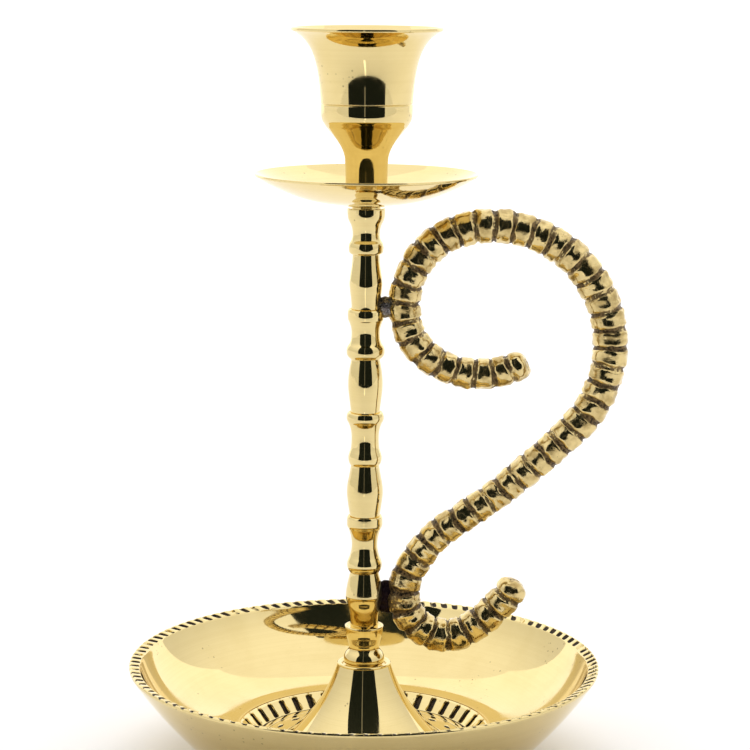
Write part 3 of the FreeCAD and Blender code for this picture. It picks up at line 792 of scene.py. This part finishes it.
grip = {
    "heading": 213.0,
    "bends": [("right", 25.5, 68.5), ("right", 17.0, 39.0), ("right", 23.2, 95.5), ("right", 35.0, 144.7),
              ("right", 220.0, 11.9), ("left", 36.0, 35.0), ("left", 12.8, 145.5), ("left", 47.0, 25.0)],
    "girth": [(0.0, 4.45), (0.15, 4.65), (0.5, 5.2), (0.7, 4.5), (0.88, 5.0), (1.0, 4.6)],
    "radius": 4.8, "ribPitch": 5.47, "turns": 44, "step": 5.0, "curveSteps": 12, "smoothDegrees": 60,
    "rib": [(0, -0.55), (0.2, -0.52), (0.42, -0.42), (0.62, -0.28), (0.85, -0.1), (1.15, 0.03),
            (1.5, 0.06), (2.1, 0.0), (2.735, -0.04)],
    "ribWeld": 0.01 * mm, "ribSwing": 0.035, "ribStride": 1.7, "ribSeed": (0.3, 0.9),
    "tip": 3.2, "tipDome": 0.98, "tipClean": 0.6, "capDepth": 0.35 * mm,
    "warpScale": 5.5 * mm, "warp": 1.7 * mm, "dentScale": 3.0 * mm, "dent": 0.9 * mm, "dentLevel": 0.55,
    "pitScale": 1.1 * mm, "pit": 0.3 * mm,
    "groove": 0.72, "grooveFrom": 0.04, "grooveFull": 0.42, "patchScale": 260.0, "patchDepth": 0.75,
    "stainReach": 13.0, "stain": 0.8,
}


def gripPath():
    # the handle's centre line from its upper tip, as (x, z, distance along it), and its length, in mm
    x = z = length = 0.0
    heading = math.radians(grip["heading"])
    points = [(x, z, length)]
    for side, radius, degrees in grip["bends"]:
        signed = radius if side == "left" else -radius
        arc = radius * math.radians(degrees)
        steps = math.ceil(arc / grip["step"])
        for step in range(1, steps + 1):
            bent = heading + arc / signed * step / steps
            points.append((x + signed * (math.sin(bent) - math.sin(heading)),
                           z - signed * (math.cos(bent) - math.cos(heading)), length + arc * step / steps))
        x, z, length = points[-1]
        heading += arc / signed
    return points, length


def girthAt(share):
    # the rod's radius at a share of its length
    for (low, lowRadius), (high, highRadius) in zip(grip["girth"], grip["girth"][1:]):
        if share <= high:
            return lowRadius + (highRadius - lowRadius) * (share - low) / (high - low)
    return grip["girth"][-1][1]


def makeGripCurve(points, length):
    startFresh()
    bpy.ops.curve.primitive_bezier_curve_add(location=(0, 0, 0))
    curve = bpy.context.object
    spline = curve.data.splines[0]
    spline.bezier_points.add(len(points) - 2)
    for knot, (x, z, along) in zip(spline.bezier_points, points):
        knot.co = Vector((x, 0, z)) * mm
        knot.handle_left_type = knot.handle_right_type = "AUTO"
        knot.radius = girthAt(along / length) / grip["radius"]
    spline.resolution_u = grip["curveSteps"]
    curve.data.twist_mode = "MINIMUM"
    return curve


def applyModifier(piece, kind, **settings):
    modifier = piece.modifiers.new(kind.lower(), kind)
    for name, value in settings.items():
        setattr(modifier, name, value)
    pickOnly(piece)
    bpy.ops.object.modifier_apply(modifier=modifier.name)


def makeClouds(name, scale):
    clouds = bpy.data.textures.new(name, "CLOUDS")
    clouds.noise_scale = scale
    clouds.noise_depth = 2
    return clouds


def makeRibs(length, ribs):
    # one rib's half section, mirrored, spun about the bar and repeated along it
    half = grip["rib"]
    stretch = length / ribs / (2 * half[-1][0])
    profile = half + [(2 * half[-1][0] - along, rise) for along, rise in half[-2::-1]]
    outline = [Vector((along * stretch, 0, grip["radius"] + rise)) * mm for along, rise in profile]
    piece = drawOutline("ribbedGrip", outline)
    bpy.ops.mesh.select_all(action="SELECT")
    bpy.ops.mesh.spin(steps=grip["turns"], angle=fullTurn, center=(0, 0, 0), axis=(1, 0, 0))
    mergeAll()
    bpy.ops.object.mode_set(mode="OBJECT")
    applyModifier(piece, "ARRAY", count=ribs, use_relative_offset=False, use_constant_offset=True,
                  constant_offset_displace=(length / ribs * mm, 0, 0), use_merge_vertices=True,
                  merge_threshold=grip["ribWeld"])
    return piece


def shapeRibs(piece, length, pitch):
    # tarnish in the grooves, ribs of uneven girth, and a dome at each end
    layer = addTarnish(piece)
    for vertex, mark in zip(piece.data.vertices, layer.data):
        radius = vertex.co.yz.length / mm
        patchy = 1 + grip["patchDepth"] * noise.noise(vertex.co * grip["patchScale"])
        sunk = grip["radius"] + grip["grooveFrom"] - radius
        mark.value = grip["groove"] * softStep(sunk, 0.0, grip["grooveFull"]) * patchy
        ribNumber = vertex.co.x / mm // pitch
        swing = noise.noise((ribNumber * grip["ribStride"], *grip["ribSeed"]))
        vertex.co.yz *= 1 + grip["ribSwing"] * swing
        fromEnd = min(vertex.co.x / mm, length - vertex.co.x / mm)
        if fromEnd < grip["tip"]:
            share = 1 - fromEnd / grip["tip"]
            domed = grip["radius"] * math.sqrt(1 - grip["tipDome"] * share * share)
            vertex.co.yz *= min(1.0, domed / radius)
            mark.value *= 1 - grip["tipClean"] * share


def closeEnd(piece, end, inward):
    # draws the open loop at one end in to a point
    bpy.ops.object.mode_set(mode="EDIT")
    bpy.ops.mesh.select_all(action="DESELECT")
    bpy.ops.object.mode_set(mode="OBJECT")
    for vertex in piece.data.vertices:
        vertex.select = abs(vertex.co.x - end * mm) < grip["ribWeld"]
    bpy.ops.object.mode_set(mode="EDIT")
    bpy.ops.mesh.select_mode(type="VERT")
    bpy.ops.mesh.extrude_region_move(TRANSFORM_OT_translate={"value": (inward, 0, 0)})
    bpy.ops.mesh.merge(type="CENTER")


def roughen(piece, name, scale, strength, level=0.5, direction="NORMAL"):
    applyModifier(piece, "DISPLACE", texture=makeClouds(name, scale), direction=direction,
                  strength=strength, mid_level=level)


def centreOn(piece, box):
    # moves the points so that the piece's own box has the same middle as this one
    low, high = box
    corners = [piece.matrix_world @ Vector(corner) for corner in piece.bound_box]
    left = min(corner.x for corner in corners)
    right = max(corner.x for corner in corners)
    bottom = min(corner.z for corner in corners)
    top = max(corner.z for corner in corners)
    shift = Vector(((low.x + high.x - left - right) / 2, 0, (low.z + high.z - bottom - top) / 2))
    for vertex in piece.data.vertices:
        vertex.co += shift


def makeGrip():
    points, length = gripPath()
    ribs = round(length / grip["ribPitch"])
    piece = makeRibs(length, ribs)
    shapeRibs(piece, length, length / ribs)
    closeEnd(piece, 0.0, grip["capDepth"])
    closeEnd(piece, length, -grip["capDepth"])
    mergeAll()
    bpy.ops.object.mode_set(mode="OBJECT")
    roughen(piece, "warpClouds", grip["warpScale"], grip["warp"], direction="X")
    curve = makeGripCurve(points, length)
    applyModifier(piece, "CURVE", object=curve, deform_axis="POS_X")
    bpy.data.objects.remove(curve)
    roughen(piece, "dentClouds", grip["dentScale"], grip["dent"], grip["dentLevel"])
    roughen(piece, "pitClouds", grip["pitScale"], grip["pit"])
    centreOn(piece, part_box("handle"))
    heart = sum(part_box("lower_solder"), Vector()) / 2
    for vertex, mark in zip(piece.data.vertices, piece.data.attributes["tarnish"].data):
        near = 1 - (vertex.co - heart).length / mm / grip["stainReach"]
        mark.value = min(1.0, mark.value + max(0.0, near) * grip["stain"])
    finishShape(piece, grip["smoothDegrees"])
    dress(piece, antiquedBrass, "handle")


makeGrip()
print("handle made")


# Solder: a lump in each joint, pinched in the middle and lumpy all over, and its stain on the stem

solder = {
    "segments": 48, "rings": 32, "bite": 1.3, "pinch": 0.22, "lump": 0.35, "lumpStretch": 2.1,
    "lumpScale": 420.0, "smoothDegrees": 80,
    "pieces": {"upper_solder": ("upperSolderLump", 0.3), "lower_solder": ("lowerSolderLump", 0.85)},
    "stain": 0.75, "stainReach": 8.5, "stainEdge": 0.7,
}


def makeSolder(node, name, oxide):
    low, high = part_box(node)
    size = (high - low) / 2
    middle = (high + low) / 2
    startFresh()
    bpy.ops.mesh.primitive_uv_sphere_add(segments=solder["segments"], ring_count=solder["rings"], radius=mm)
    piece = bpy.context.object
    piece.name = name
    piece.data.name = name
    reach = Vector((size.x / mm + solder["bite"], size.y / mm, size.z / mm))
    for vertex in piece.data.vertices:
        way = vertex.co / mm
        waist = 1 - solder["pinch"] * (1 - way.x * way.x)
        lump = noise.noise(way * solder["lumpStretch"] + middle * solder["lumpScale"]) * solder["lump"]
        vertex.co = Vector((way.x * reach.x, way.y * reach.y * waist, way.z * reach.z * waist)) * mm
        vertex.co += way.normalized() * lump * mm
        vertex.co += middle
    setTarnish(piece, lambda spot: oxide)
    finishShape(piece, solder["smoothDegrees"])
    dress(piece, oxidisedSolder, node)


def stainStem():
    # the lower joint's heat has stained the stem beside it
    heart = sum(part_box("lower_solder"), Vector()) / 2
    reach = solder["stainReach"] * mm
    setTarnish(bpy.data.objects["barrelOne"], lambda spot: solder["stain"] * softStep(
        1 - (spot - heart).length / reach, 0.0, solder["stainEdge"]))


for node, (name, oxide) in solder["pieces"].items():
    makeSolder(node, name, oxide)
stainStem()
for node in ("tie_rod", "base_washer", "base_nut"):
    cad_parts[node].data.materials.clear()
    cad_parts[node].data.materials.append(plainSteel)
print("solder and fixings made")


# Camera, floor and light

view = {
    "place": Vector((0.0028, -0.6930, 0.2373)), "pitch": 0.1726, "roll": 0.006, "lens": 115.2,
    "sensor": 36.0, "nearest": 0.01,
}


def makeCamera():
    data = bpy.data.cameras.new("viewCamera")
    data.lens = view["lens"]
    data.sensor_width = view["sensor"]
    data.clip_start = view["nearest"]
    camera = bpy.data.objects.new("viewCamera", data)
    bpy.context.scene.collection.objects.link(camera)
    turn = Matrix.Rotation(math.pi / 2 - view["pitch"], 4, "X") @ Matrix.Rotation(view["roll"], 4, "Z")
    camera.matrix_world = Matrix.Translation(view["place"]) @ turn
    bpy.context.scene.camera = camera


studio = {
    "floorSize": 6.0, "floorColour": (0.93, 0.92, 0.915, 1), "floorRoughness": 0.6, "floorShine": 0.2,
    "floorDrop": 0.0002,
    "worldColour": (1.0, 0.99, 0.985, 1), "sideGlow": 0.9, "topGlow": 1.27, "glowRise": (0.1, 0.9),
    "backWidth": 3.6, "backHeight": 2.2, "backY": 1.6, "backPower": 1.4,
    "screenWidth": 1.56, "screenTop": 2.4, "screenFoot": -0.35, "screenY": -0.76,
    "screenColour": (0.007, 0.010, 0.009, 1), "screenRoughness": 0.9, "screenShine": 0.1,
    "tableEdge": -0.52,
    "stripWidth": 0.035, "stripHeight": 1.5, "stripX": -0.06, "stripGap": 0.01, "stripPower": 0.22,
    "paleWidth": 0.022, "paleReach": 0.24, "paleX": -0.03, "paleLift": 0.001, "palePower": 1.9,
    "fillSize": 1.6, "fillHeight": 1.6, "fillEnergy": 8.0,
}


def makeSheet(name, size, place, turn, material):
    startFresh()
    bpy.ops.mesh.primitive_plane_add(size=1.0, location=place, rotation=turn)
    sheet = bpy.context.object
    sheet.name = name
    sheet.scale = (size[0], size[1], 1)
    sheet.data.materials.append(material)
    return sheet


def makeMatt(name, colour, roughness, shine):
    material, tree, shader = startMaterial(name)
    shader.inputs["Base Color"].default_value = colour
    shader.inputs["Roughness"].default_value = roughness
    shader.inputs["Specular IOR Level"].default_value = shine
    return material


def makeGlow(name, power):
    glow, tree, shader = startMaterial(name)
    shader.inputs["Base Color"].default_value = (0, 0, 0, 1)
    shader.inputs["Emission Color"].default_value = studio["worldColour"]
    shader.inputs["Emission Strength"].default_value = power
    return glow


def makeSheets():
    # a floor with a front edge, a bright backdrop, and behind the camera a dark screen with a thin light;
    # the pale strip lies on the floor in front
    flat, upright = (0, 0, 0), (math.pi / 2, 0, 0)
    floorPaint = makeMatt("floorPaint", studio["floorColour"], studio["floorRoughness"],
                          studio["floorShine"])
    makeSheet("studioFloor", (studio["floorSize"], studio["floorSize"]),
              (0, studio["tableEdge"] + studio["floorSize"] / 2, -studio["floorDrop"]), flat, floorPaint)
    screenCloth = makeMatt("screenCloth", studio["screenColour"], studio["screenRoughness"],
                           studio["screenShine"])
    screenRise = studio["screenTop"] - studio["screenFoot"]
    hidden = [
        makeSheet("darkScreen", (studio["screenWidth"], screenRise),
                  (0, studio["screenY"], studio["screenFoot"] + screenRise / 2), upright, screenCloth),
        makeSheet("lightStrip", (studio["stripWidth"], studio["stripHeight"]),
                  (studio["stripX"], studio["screenY"] + studio["stripGap"], studio["stripHeight"] / 2),
                  upright, makeGlow("stripGlow", studio["stripPower"])),
        makeSheet("floorStrip", (studio["paleWidth"], studio["paleReach"]),
                  (studio["paleX"], studio["tableEdge"] + studio["paleReach"] / 2, studio["paleLift"]),
                  flat, makeGlow("floorStripGlow", studio["palePower"])),
    ]
    for sheet in hidden:
        sheet.visible_camera = False
    makeSheet("litBackdrop", (studio["backWidth"], studio["backHeight"]),
              (0, studio["backY"], studio["backHeight"] / 2), upright,
              makeGlow("backdropGlow", studio["backPower"]))


def makeFill():
    # lights the floor from above, and shows in no reflection
    data = bpy.data.lights.new("floorFill", "AREA")
    data.size = studio["fillSize"]
    data.energy = studio["fillEnergy"]
    fill = bpy.data.objects.new("floorFill", data)
    fill.location = (0, 0, studio["fillHeight"])
    fill.visible_glossy = False
    bpy.context.scene.collection.objects.link(fill)


def makeWorld():
    # a pale tent all round, brighter towards the top
    world = bpy.data.worlds.new("paleTent")
    world.use_nodes = True
    tree = world.node_tree
    back = tree.nodes["Background"]
    back.inputs["Color"].default_value = studio["worldColour"]
    way = addNode(tree, "ShaderNodeTexCoord").outputs["Generated"]
    height = addNode(tree, "ShaderNodeSeparateXYZ", {0: way}).outputs[2]
    glow = addRange(tree, height, *studio["glowRise"], studio["sideGlow"], studio["topGlow"])
    tree.links.new(glow, back.inputs["Strength"])
    bpy.context.scene.world = world
    bpy.context.scene.view_settings.view_transform = "Standard"


makeCamera()
makeSheets()
makeFill()
makeWorld()
print("camera, floor and light made")
